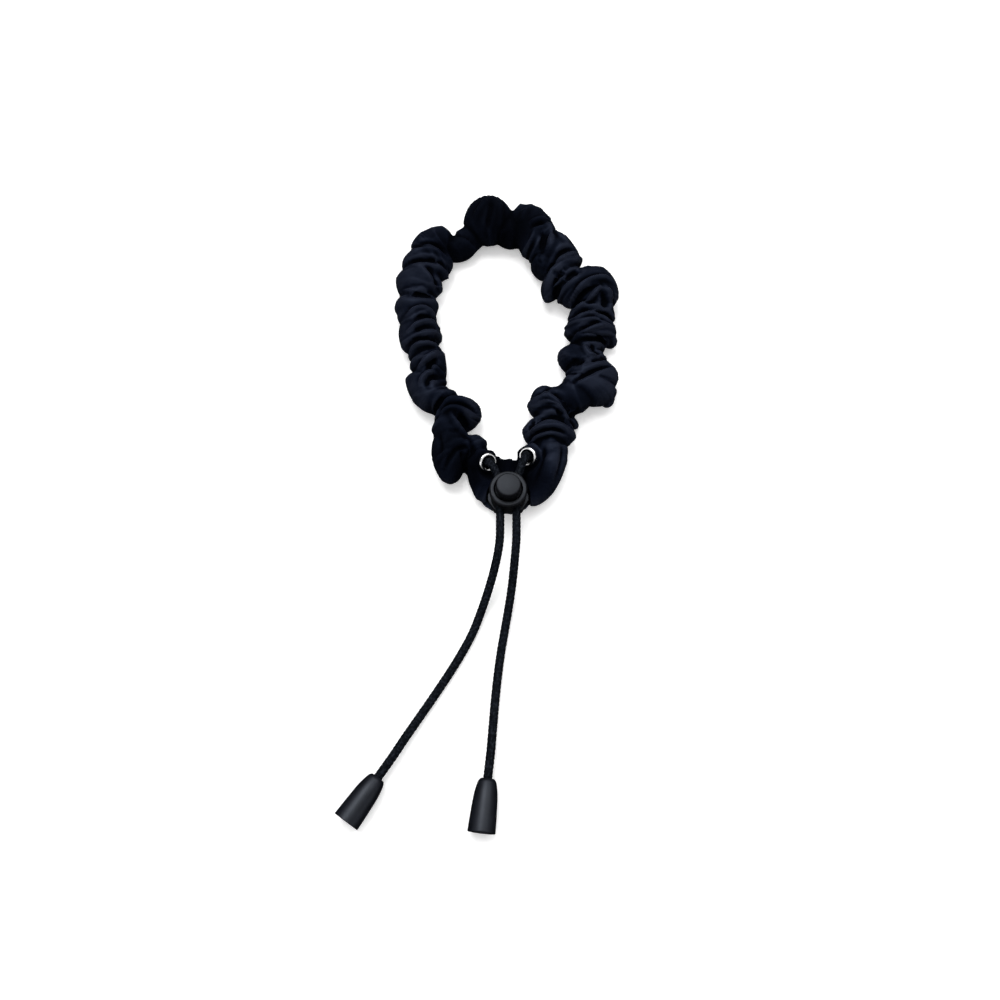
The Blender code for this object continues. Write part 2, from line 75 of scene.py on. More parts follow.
VIEW_ELEVATION = math.radians(69.0)
VIEW_DISTANCE = 313.5 * MM
VIEW_OFFSET = Vector((-2.75, -3.6, -1.4)) * MM      # from the top of the lock's rim to the aim
VIEW_LENS = 34.2
VIEW_SENSOR = 36.0


def make_camera():
    aim = Vector((LOCK_X, LOCK_Y, LOCK_RIM)) + VIEW_OFFSET
    away = Vector((0.0, -math.cos(VIEW_ELEVATION), math.sin(VIEW_ELEVATION)))
    data = bpy.data.cameras.new("camera")
    data.lens = VIEW_LENS
    data.sensor_width = VIEW_SENSOR
    data.clip_start = 0.01
    camera = bpy.data.objects.new("camera", data)
    camera.location = aim + away * VIEW_DISTANCE
    camera.rotation_euler = (math.pi / 2.0 - VIEW_ELEVATION, 0.0, 0.0)
    bpy.context.scene.collection.objects.link(camera)
    bpy.context.scene.camera = camera


# Broad lights: name, compass direction in degrees from +X, height in degrees, strength, and
# spread in degrees
SUNS = (
    ("key_light", 115.0, 62.0, 2.0, 38.0),
    ("side_light", 40.0, 50.0, 0.80, 40.0),
    ("front_light", 250.0, 65.0, 0.30, 50.0),
    ("left_strip", 210.0, 24.0, 0.34, 34.0),
    ("right_strip", 332.0, 22.0, 0.22, 34.0),
)
# Sky brightness at heights from 0, straight down, through 0.5, the horizon, to 1, overhead
SKY = ((0.48, 0.02), (0.52, 0.12), (1.0, 0.44))
STAGE_RADIUS = 3.0
STAGE_SIDES = 64
WALL_HEIGHT = 3.5


def soft_sun(name, azimuth, elevation, strength, spread):
    turn, rise = math.radians(azimuth), math.radians(elevation)
    towards = Vector((math.cos(turn) * math.cos(rise), math.sin(turn) * math.cos(rise), math.sin(rise)))
    data = bpy.data.lights.new(name, "SUN")
    data.energy = strength
    data.angle = math.radians(spread)
    light = bpy.data.objects.new(name, data)
    light.location = towards
    light.rotation_euler = (-towards).to_track_quat("-Z", "Y").to_euler()
    bpy.context.scene.collection.objects.link(light)


def grey(brightness):
    return (brightness, brightness, brightness)


def principled(name, colour, roughness, metallic=0.0):
    made = bpy.data.materials.new(name)
    made.use_nodes = True
    shader = made.node_tree.nodes["Principled BSDF"]
    shader.inputs["Base Color"].default_value = (*colour, 1.0)
    shader.inputs["Roughness"].default_value = roughness
    shader.inputs["Metallic"].default_value = metallic
    return made, made.node_tree, shader


def ramp(tree, source, stops):
    """Colour of the source value on a ramp of (position, colour) stops in rising order."""
    made = tree.nodes.new("ShaderNodeValToRGB")
    elements = made.color_ramp.elements
    for index, (position, colour) in enumerate(stops):
        element = elements[index] if index < len(elements) else elements.new(position)
        element.position = position
        element.color = (*colour, 1.0)
    tree.links.new(source, made.inputs["Fac"])
    return made.outputs["Color"]


def paper(name, brightness, glow):
    made, _, shader = principled(name, grey(brightness), 0.9)
    shader.inputs["Emission Color"].default_value = (1.0, 1.0, 1.0, 1.0)
    shader.inputs["Emission Strength"].default_value = glow
    return made


def staged(name, points, faces, finish):
    """Part of the studio set, left out of reflections so that dark cloth keeps its dark edges."""
    mesh = bpy.data.meshes.new(name)
    mesh.from_pydata(points, [], faces)
    mesh.materials.append(finish)
    made = bpy.data.objects.new(name, mesh)
    bpy.context.scene.collection.objects.link(made)
    made.visible_glossy = False
    return made


def make_studio():
    """Pale floor and wall under a sky that is brightest overhead and dark below the floor."""
    world = bpy.data.worlds.new("studio")
    bpy.context.scene.world = world
    world.use_nodes = True
    tree = world.node_tree
    sky = tree.nodes["Background"]
    coords = tree.nodes.new("ShaderNodeTexCoord")
    parts = tree.nodes.new("ShaderNodeSeparateXYZ")
    height = tree.nodes.new("ShaderNodeMapRange")
    height.inputs["From Min"].default_value = -1.0
    tree.links.new(coords.outputs["Generated"], parts.inputs["Vector"])
    tree.links.new(parts.outputs["Z"], height.inputs["Value"])
    stops = [(position, grey(brightness)) for position, brightness in SKY]
    tree.links.new(ramp(tree, height.outputs["Result"], stops), sky.inputs["Color"])
    for sun in SUNS:
        soft_sun(*sun)
    bpy.context.scene.view_settings.view_transform = "Standard"
    bpy.context.scene.view_settings.look = "None"

    edge = [(STAGE_RADIUS * math.cos(angle), STAGE_RADIUS * math.sin(angle))
            for angle in round_angles(STAGE_SIDES)]
    staged("floor", [(x, y, GROUND) for x, y in edge], [tuple(range(STAGE_SIDES))],
           paper("floor_paper", 0.93, 0.34))
    wall_points = [(x, y, z) for z in (GROUND, WALL_HEIGHT) for x, y in edge]
    wall_faces = []
    for step in range(STAGE_SIDES):
        turn = (step + 1) % STAGE_SIDES
        wall_faces.append((step, turn, STAGE_SIDES + turn, STAGE_SIDES + step))
    wall = staged("backdrop", wall_points, wall_faces, paper("backdrop_paper", 0.2, 0.95))
    wall.visible_diffuse = False
    wall.visible_shadow = False


# ---------------------------------------------------------------- shared mesh and curve helpers

def new_object(name, mesh, finish, sharp_angle=math.radians(40.0)):
    mesh.materials.append(finish)
    mesh.shade_smooth()
    mesh.set_sharp_from_angle(angle=sharp_angle)
    made = bpy.data.objects.new(name, mesh)
    bpy.context.scene.collection.objects.link(made)
    return made


def skin(name, rings, closed=False, capped=True):
    """Mesh over rings of equal size, each (n, 3)."""
    rings = np.asarray(rings, dtype=float)
    count, sides = rings.shape[:2]
    faces = []
    for index in range(count if closed else count - 1):
        here, there = index * sides, ((index + 1) % count) * sides
        for side in range(sides):
            turn = (side + 1) % sides
            faces.append((here + side, here + turn, there + turn, there + side))
    if capped and not closed:
        faces.append(tuple(reversed(range(sides))))
        faces.append(tuple(range((count - 1) * sides, count * sides)))
    mesh = bpy.data.meshes.new(name)
    mesh.from_pydata(rings.reshape(-1, 3).tolist(), [], faces)
    mesh.update()
    return mesh


def outward(mesh):
    shape = bmesh.new()
    shape.from_mesh(mesh)
    bmesh.ops.recalc_face_normals(shape, faces=shape.faces)
    shape.to_mesh(mesh)
    shape.free()
    return mesh


def turned(name, profile, sides=72):
    """Solid of revolution about +Z from a closed (radius, height) profile in metres."""
    rings = [[(r * math.cos(angle), r * math.sin(angle), h) for r, h in profile]
             for angle in round_angles(sides)]
    return outward(skin(name, rings, closed=True))


def rounded(corners, steps=5):
    """Closed (radius, height) profile in millimetres, each corner rounded by its third value."""
    profile = []
    count = len(corners)
    for index, (r, h, fillet) in enumerate(corners):
        here = Vector((r, h))
        if fillet <= 0.0:
            profile.append(here * MM)
            continue
        before = Vector(corners[index - 1][:2])
        after = Vector(corners[(index + 1) % count][:2])
        start = here + (before - here).normalized() * fillet
        end = here + (after - here).normalized() * fillet
        for step in range(steps + 1):
            t = step / steps
            profile.append((start * (1 - t) ** 2 + here * 2 * t * (1 - t) + end * t ** 2) * MM)
    return [tuple(point) for point in profile]


def facing(origin, axis):
    """Matrix whose local +Z is the axis."""
    turn = axis.normalized().to_track_quat("Z", "Y")
    return Matrix.Translation(origin) @ turn.to_matrix().to_4x4()


def catmull_rom(points, steps):
    points = np.asarray(points, dtype=float)
    count = len(points)
    curve = []
    for index in range(count - 1):
        here, there = points[index], points[index + 1]
        before = points[index - 1] if index else 2.0 * here - there
        after = points[index + 2] if index + 2 < count else 2.0 * there - here
        for step in range(steps):
            t = step / steps
            curve.append(0.5 * (2.0 * here + (there - before) * t
                                + (2.0 * before - 5.0 * here + 4.0 * there - after) * t ** 2
                                + (3.0 * here - before - 3.0 * there + after) * t ** 3))
    curve.append(points[-1])
    return np.array(curve)


def even_steps(curve, step):
    lengths = np.linalg.norm(np.diff(curve, axis=0), axis=1)
    travelled = np.concatenate(([0.0], np.cumsum(lengths)))
    count = max(2, round(travelled[-1] / step) + 1)
    stations = np.linspace(0.0, travelled[-1], count)
    return np.stack([np.interp(stations, travelled, curve[:, k]) for k in range(3)], axis=1)


# ---------------------------------------------------------------- materials

def node(tree, kind, **values):
    made = tree.nodes.new(kind)
    for key, value in values.items():
        if key in made.inputs:
            made.inputs[key].default_value = value
        else:
            setattr(made, key, value)
    return made


def noise(tree, scale, detail):
    """Cloudy pattern fixed to the piece itself."""
    coords = node(tree, "ShaderNodeTexCoord")
    made = node(tree, "ShaderNodeTexNoise", Scale=scale, Detail=detail)
    tree.links.new(coords.outputs["Object"], made.inputs["Vector"])
    return made.outputs["Fac"]


def spread(tree, source, low, high, start=0.0, end=1.0):
    """The source value, taken from between start and end to between low and high."""
    made = node(tree, "ShaderNodeMapRange")
    for socket, value in (("From Min", start), ("From Max", end), ("To Min", low), ("To Max", high)):
        made.inputs[socket].default_value = value
    tree.links.new(source, made.inputs["Value"])
    return made.outputs["Result"]


def bump(tree, shader, height, strength, distance):
    made = node(tree, "ShaderNodeBump", Strength=strength, Distance=distance)
    tree.links.new(height, made.inputs["Height"])
    tree.links.new(made.outputs["Normal"], shader.inputs["Normal"])


def tint_gloss(shader, level, tint):
    shader.inputs["Specular IOR Level"].default_value = level
    shader.inputs["Specular Tint"].default_value = (*tint, 1.0)


def fabric_material():
    """Fine twill with a blue-black satin face; its colour carries painted shade in the creases and darker
    patches, and painted highlights on the ridges and lighter patches.
    """
    made, tree, shader = principled("sleeve_twill", (0.0016, 0.0022, 0.0044), 0.55)
    tint_gloss(shader, 0.06, (0.46, 0.62, 1.0))
    # Attribute holding the cloth's painted shade and painted highlights
    painted_light = node(tree, "ShaderNodeAttribute")
    painted_light.attribute_name = "painted_light"
    uneven = spread(tree, noise(tree, scale=160.0, detail=4.0), low=0.75, high=1.2, start=0.3, end=0.7)
    shade = node(tree, "ShaderNodeMath", operation="MULTIPLY")
    tree.links.new(painted_light.outputs["Fac"], shade.inputs[0])
    tree.links.new(uneven, shade.inputs[1])
    shade = shade.outputs["Value"]
    # Base colour runs from painted shade at 0 to painted highlights at 1 and above
    stops = ((0.0, (0.0001, 0.0001, 0.0005)), (0.5, (0.0026, 0.0037, 0.0084)),
             (1.0, (0.0100, 0.0124, 0.0215)))
    tree.links.new(ramp(tree, shade, stops), shader.inputs["Base Color"])
    tree.links.new(spread(tree, shade, low=0.95, high=0.34), shader.inputs["Roughness"])
    coords = node(tree, "ShaderNodeTexCoord")
    weave = node(tree, "ShaderNodeTexWave", Scale=900.0, Distortion=1.5, Detail=1.0)
    weave.bands_direction = "DIAGONAL"
    tree.links.new(coords.outputs["Object"], weave.inputs["Vector"])
    bump(tree, shader, weave.outputs["Fac"], strength=0.25, distance=0.1 * MM)
    return made


def braid_material():
    """Matt black yarn with paler fibres."""
    made, tree, shader = principled("drawcord_braid", (0.002, 0.003, 0.005), 0.62)
    tint_gloss(shader, 0.075, (0.70, 0.84, 1.0))
    fibres = noise(tree, scale=1500.0, detail=3.0)
    stops = ((0.48, (0.0005, 0.0008, 0.0018)), (0.64, (0.0110, 0.0130, 0.0185)))
    tree.links.new(ramp(tree, fibres, stops), shader.inputs["Base Color"])
    bump(tree, shader, fibres, strength=0.4, distance=0.1 * MM)
    return made


def moulded_material(name, dark, light, roughness, specular):
    """Satin moulded plastic with a faint grain and uneven gloss."""
    made, tree, shader = principled(name, light, roughness)
    tint_gloss(shader, specular, (0.80, 0.87, 1.0))
    patches = noise(tree, scale=260.0, detail=4.0)
    tree.links.new(ramp(tree, patches, ((0.35, dark), (0.65, light))), shader.inputs["Base Color"])
    gloss = spread(tree, patches, low=roughness - 0.06, high=roughness + 0.08)
    tree.links.new(gloss, shader.inputs["Roughness"])
    bump(tree, shader, noise(tree, scale=4000.0, detail=2.0), strength=0.12, distance=0.05 * MM)
    return made


def metal_material(name, colour, roughness):
    """Plated or drawn metal with hairline wear in its gloss."""
    made, tree, shader = principled(name, colour, roughness, 1.0)
    wear = noise(tree, scale=900.0, detail=5.0)
    gloss = spread(tree, wear, low=0.5 * roughness, high=1.6 * roughness)
    tree.links.new(gloss, shader.inputs["Roughness"])
    bump(tree, shader, wear, strength=0.05, distance=0.05 * MM)
    return made


FABRIC = fabric_material()
BRAID = braid_material()
LOCK_PLASTIC = moulded_material("lock_plastic_satin", (0.0016, 0.0017, 0.0024),
                                (0.0028, 0.0030, 0.0040), 0.46, 0.30)
BELL_PLASTIC = moulded_material("bell_plastic_satin", (0.0010, 0.0013, 0.0030),
                                (0.0024, 0.0030, 0.0060), 0.44, 0.42)
CHROME = metal_material("eyelet_plating", (0.86, 0.86, 0.87), 0.12)
STEEL = metal_material("spring_wire", (0.60, 0.60, 0.61), 0.3)


# ---------------------------------------------------------------- routes

CORD_DIAMETER = 2.9 * MM
EYELETS = {
    "left": (place_of(-7.0, 12.6, 8.0), Vector((0.50, -0.45, 0.74)).normalized()),
    "right": (place_of(6.9, 14.8, 8.0), Vector((-0.50, -0.45, 0.74)).normalized()),
}
CORD_START = -2.7 * MM
BELL_ENTRIES = {
    "left": (place_of(-40.3, -90.9, 3.6), math.radians(235.3)),
    "right": (place_of(-6.55, -91.3, 3.6), math.radians(263.4)),
}
STRAIGHT_AT_BELL = 8.0 * MM
ROUTE_STEPS = 24                    # path points to each stretch of a route
TAIL_OUTSIDE = 60                   # path points before the cord leaves its eyelet
KNOT_RADIUS = 2.65 * MM
KNOT_DEPTH = 8.0 * MM
KNOT_LIFT = 0.35 * MM
KNOT_STRAND = 1.2 * MM
KNOT_SPREAD = 0.36                  # lobe size as a share of the knot's radius less its strand's
KNOT_WAVE = 1.35 * MM               # how far the winding weaves to and fro along the cord
KNOT_STUB = (-2.0 * MM, 3.4 * MM)   # ends of the strand through the knot
TAIL_ROUTES = {
    "left": ((-2.7, 4.0, 10.8), (-2.7, -3.0, 10.8), (-2.7, -10.0, 10.8), (-2.85, -16.2, 10.75),
             (-3.7, -21.8, 9.6), (-5.2, -27.6, 7.2), (-7.1, -33.4, 4.6), (-9.3, -39.4, 2.5),
             (-11.8, -45.6, 1.6), (-14.8, -51.4, 1.5), (-18.7, -58.0, 1.5), (-23.6, -65.6, 1.6),
             (-28.6, -73.2, 2.3), (-32.7, -79.5, 3.2)),
    "right": ((2.7, 4.0, 10.8), (2.7, -3.0, 10.8), (2.7, -10.0, 10.8), (2.6, -16.2, 10.75),
              (2.15, -21.8, 9.6), (1.55, -27.6, 7.2), (0.75, -33.4, 4.6), (-0.3, -39.4, 2.5),
              (-1.4, -45.6, 1.6), (-2.4, -51.4, 1.5), (-3.3, -58.0, 1.5), (-4.15, -65.6, 1.6),
              (-4.8, -73.2, 2.3), (-5.3, -79.5, 3.2)),
}


def bell_direction(side):
    angle = BELL_ENTRIES[side][1]
    return Vector((math.cos(angle), math.sin(angle), 0.0))


def tail_path(side):
    centre, axis = EYELETS[side]
    entry = BELL_ENTRIES[side][0]
    way = bell_direction(side)
    points = [centre + axis * height for height in (CORD_START, 0.0, 2.4 * MM)]
    points += [place_of(*spot) for spot in TAIL_ROUTES[side]]
    points += [entry - way * STRAIGHT_AT_BELL, entry, entry + way * (KNOT_DEPTH - 0.8 * KNOT_RADIUS)]
    return catmull_rom([tuple(point) for point in points], ROUTE_STEPS)


# ---------------------------------------------------------------- braided cord

BRAID_SIDES = 40
BRAID_STEP = 0.24 * MM
BRAID_STRANDS = 8
BRAID_PITCH = 5.6 * MM
BRAID_RELIEF = 0.17 * MM


def tube_rings(path, angles, reach):
    """Rings about a path, carried along it without twist, at a reach for each point and angle."""
    tangents = np.gradient(path, axis=0)
    tangents /= np.linalg.norm(tangents, axis=1)[:, None]
    side = np.cross(tangents[0], (0.3, 0.2, 1.0))
    sides, others = [], []
    for tangent in tangents:
        side = side - tangent * side.dot(tangent)
        side /= np.linalg.norm(side)
        sides.append(side)
        others.append(np.cross(tangent, side))
    sides, others = np.array(sides), np.array(others)
    outwards = (np.cos(angles)[None, :, None] * sides[:, None, :]
                + np.sin(angles)[None, :, None] * others[:, None, :])
    return path[:, None, :] + np.broadcast_to(reach, outwards.shape[:2])[:, :, None] * outwards


def braided_tube(name, path, radius):
    """Tube whose surface carries the crossing strands of a round braid."""
    path = even_steps(path, BRAID_STEP)
    travelled = np.arange(len(path)) * BRAID_STEP
    angles = round_angles(BRAID_SIDES)
    turn = 2.0 * math.pi * travelled[:, None] / BRAID_PITCH * BRAID_STRANDS / 4.0
    right_lay = 0.5 + 0.5 * np.cos(0.5 * BRAID_STRANDS * angles[None, :] + turn)
    left_lay = 0.5 + 0.5 * np.cos(0.5 * BRAID_STRANDS * angles[None, :] - turn)
    strands = np.maximum(right_lay, left_lay) - 0.5 * right_lay * left_lay
    reach = radius - BRAID_RELIEF * (1.0 - strands)
    return outward(skin(name, tube_rings(path, angles, reach)))


def make_tail(side):
    """Free cord from inside its eyelet to its knot, with the path it follows."""
    name = "drawcord_" + side
    path = tail_path(side)
    cord = new_object(name + "_braid", braided_tube(name, path, 0.5 * CORD_DIAMETER), BRAID,
                      math.radians(80.0))
    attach(cord, "loop")
    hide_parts(name)
    return cord, path


def make_knot(side):
    """Tight overhand knot: a three-lobed winding of the cord, with its cut end standing out."""
    turns = round_angles(160)
    lobe = KNOT_SPREAD * (KNOT_RADIUS - KNOT_STRAND)
    winding = np.stack([lobe * (np.sin(turns) + 2.0 * np.sin(2.0 * turns)),
                        lobe * (np.cos(turns) - 2.0 * np.cos(2.0 * turns)),
                        -KNOT_WAVE * np.sin(3.0 * turns)], axis=1)
    path = np.concatenate([winding, winding[:1]])
    mesh = braided_tube(side + "_knot", path, KNOT_STRAND)
    stub = braided_tube(side + "_stub", np.array([(0.0, 0.0, end) for end in KNOT_STUB]), KNOT_STRAND)
    shape = bmesh.new()
    shape.from_mesh(mesh)
    shape.from_mesh(stub)
    shape.to_mesh(mesh)
    shape.free()
    knot = new_object(side + "_knot_braid", mesh, BRAID, math.radians(80.0))
    along = bell_direction(side)
    centre = BELL_ENTRIES[side][0] + along * KNOT_DEPTH + Vector((0.0, 0.0, KNOT_LIFT))
    knot.matrix_world = facing(centre, along)
    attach(knot, "loop")
    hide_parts(side + "_knot")
    return knot


# ---------------------------------------------------------------- bells and eyelets

BELL_TILT = math.radians(2.7)
BELL_NARROW_HEIGHT = 3.58 * MM
BELL_PROFILE = ((1.8, 0.0, 0.12), (2.2, 0.0, 0.2), (2.82, 0.8, 0.45), (3.2, 2.2, 0.6),
                (3.56, 4.0, 0.7), (3.8, 6.2, 0.9), (4.0, 9.5, 1.2), (4.18, 13.0, 1.0),
                (4.28, 15.8, 0.2), (3.68, 15.8, 0.16), (3.4, 11.0, 1.0), (3.1, 5.0, 0.5),
                (1.8, 3.4, 0.3))


def make_bell(side):
    """Bullet-shaped hollow end, its neck round the cord and its mouth open."""
    bell = new_object(side + "_bell_moulding", turned(side + "_bell", rounded(BELL_PROFILE)),
                      BELL_PLASTIC, math.radians(50.0))
    way = bell_direction(side)
    entry = BELL_ENTRIES[side][0]
    axis = Vector((way.x * math.cos(BELL_TILT), way.y * math.cos(BELL_TILT), math.sin(BELL_TILT)))
    bell.matrix_world = facing(Vector((entry.x, entry.y, BELL_NARROW_HEIGHT)), axis)
    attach(bell, side + "_cord_end")
    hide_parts(side + "_bell")
    return bell


EYELET_FLANGE_RADIUS = 3.4
EYELET_BORE_RADIUS = 1.75
EYELET_TUBE_RADIUS = 2.15
EYELET_CREST = 0.62                 # place of the crest as a share of the flange's width
EYELET_RISE = 0.9
EYELET_SEAT = 0.05
EYELET_FUNNEL = -0.9                # height at which the flange's inner side meets the bore
EYELET_DEEP = 2.1
EYELET_STEPS = 20


def make_eyelet(side):
    """Rolled flange whose inner side runs down like a funnel into the tube."""
    crest = EYELET_BORE_RADIUS + EYELET_CREST * (EYELET_FLANGE_RADIUS - EYELET_BORE_RADIUS)
    profile = [(EYELET_BORE_RADIUS, -EYELET_DEEP), (EYELET_TUBE_RADIUS, -EYELET_DEEP),
               (EYELET_TUBE_RADIUS, EYELET_SEAT)]
    for step in range(EYELET_STEPS + 1):
        angle = math.pi * step / EYELET_STEPS
        outer = step <= EYELET_STEPS // 2
        edge = EYELET_FLANGE_RADIUS if outer else EYELET_BORE_RADIUS
        base = EYELET_SEAT if outer else EYELET_FUNNEL
        profile.append((crest + abs(math.cos(angle)) * (edge - crest),
                        base + (EYELET_RISE - base) * math.sin(angle)))
    profile = [(radius * MM, height * MM) for radius, height in profile]
    eyelet = new_object(side + "_eyelet_plated", turned(side + "_eyelet", profile), CHROME,
                        math.radians(50.0))
    eyelet.matrix_world = facing(*EYELETS[side])
    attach(eyelet, "loop")
    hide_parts(side + "_eyelet")


# ---------------------------------------------------------------- gathered sleeve

# Puffs of gathered fabric, clockwise from under the lock, in millimetres and degrees:
# (x, y, half length, half width, height, heading of the length)
PUFFS = (
    (-0.3, 5.0, 10.0, 8.0, 3.9, 0.0),
    (-0.4, 11.7, 9.5, 4.8, 7.0, 0.0),
    (-9.3, 12.2, 12.0, 4.9, 8.6, 100.0),
    (-11.2, 21.0, 4.4, 3.6, 9.6, 130.0),
    (-19.9, 18.8, 11.7, 6.2, 12.0, 90.0),
    (-20.6, 26.6, 5.6, 6.1, 12.3, 0.0),
    (-17.5, 32.6, 7.7, 6.9, 12.5, -6.0),
    (-28.0, 41.5, 9.6, 6.1, 11.5, -50.0),
    (-27.7, 52.2, 9.4, 6.4, 11.0, 96.0),
    (-31.0, 64.0, 7.6, 7.8, 11.5, 90.0),
    (-32.6, 74.5, 8.6, 7.7, 11.5, 90.0),
    (-32.1, 85.0, 8.2, 8.5, 12.0, 90.0),
    (-29.6, 93.0, 7.8, 9.5, 12.0, 90.0),
    (-27.6, 101.7, 8.7, 6.9, 12.0, 34.0),
    (-18.4, 101.2, 7.2, 4.5, 9.4, 10.0),
    (-7.1, 112.8, 10.3, 9.2, 13.0, 80.0),
    (0.8, 107.8, 6.5, 5.4, 10.4, -20.0),
    (10.2, 106.4, 14.0, 8.2, 13.0, -69.0),
    (13.0, 93.0, 5.0, 4.2, 11.0, -40.0),
    (18.2, 97.4, 10.4, 7.4, 12.6, -55.0),
    (19.2, 88.0, 11.0, 4.6, 12.6, 53.0),
    (27.2, 83.4, 10.6, 7.4, 12.8, 24.0),
    (30.6, 81.6, 9.6, 9.7, 13.4, 0.0),
    (30.0, 72.2, 8.8, 5.6, 11.4, 14.0),
    (29.4, 65.4, 9.4, 6.2, 12.0, 0.0),
    (26.4, 53.6, 8.8, 6.9, 10.8, -8.0),
    (29.0, 46.8, 9.4, 6.8, 12.6, 0.0),
    (28.2, 42.3, 9.6, 5.6, 12.6, -12.0),
    (17.2, 35.9, 9.3, 6.9, 11.6, 10.0),
    (14.4, 25.4, 9.0, 6.6, 12.0, 0.0),
    (13.1, 11.5, 13.8, 5.5, 11.2, 66.0),
)
# Small corners of cloth that stand out of the puffs, given as the puffs are
TIPS = (
    (34.5, 39.6, 2.8, 2.0, 9.4, -35.0), (22.7, 31.3, 2.8, 2.1, 6.8, -60.0),
    (36.2, 63.0, 2.8, 1.7, 9.0, -20.0), (12.2, 39.6, 4.2, 3.3, 9.6, 50.0),
    (-23.4, 30.4, 3.6, 2.8, 10.6, 100.0), (-4.3, 15.1, 7.2, 2.6, 7.0, -36.0),
)
# The sleeve's middle line in plan, along which its fabric is gathered
SPINE = (
    (0.0, 7.0), (-9.0, 10.0), (-17.0, 17.0), (-18.5, 28.0), (-26.5, 39.0), (-28.5, 52.0),
    (-31.5, 66.0), (-32.0, 80.0), (-29.0, 94.0), (-18.0, 101.0), (-7.0, 108.0), (2.0, 106.5),
    (12.0, 103.0), (21.0, 92.0), (29.0, 80.0), (30.0, 66.0), (27.0, 54.0), (28.0, 43.0),
    (18.0, 34.0), (14.0, 24.0), (13.0, 12.0), (7.0, 7.0),
)
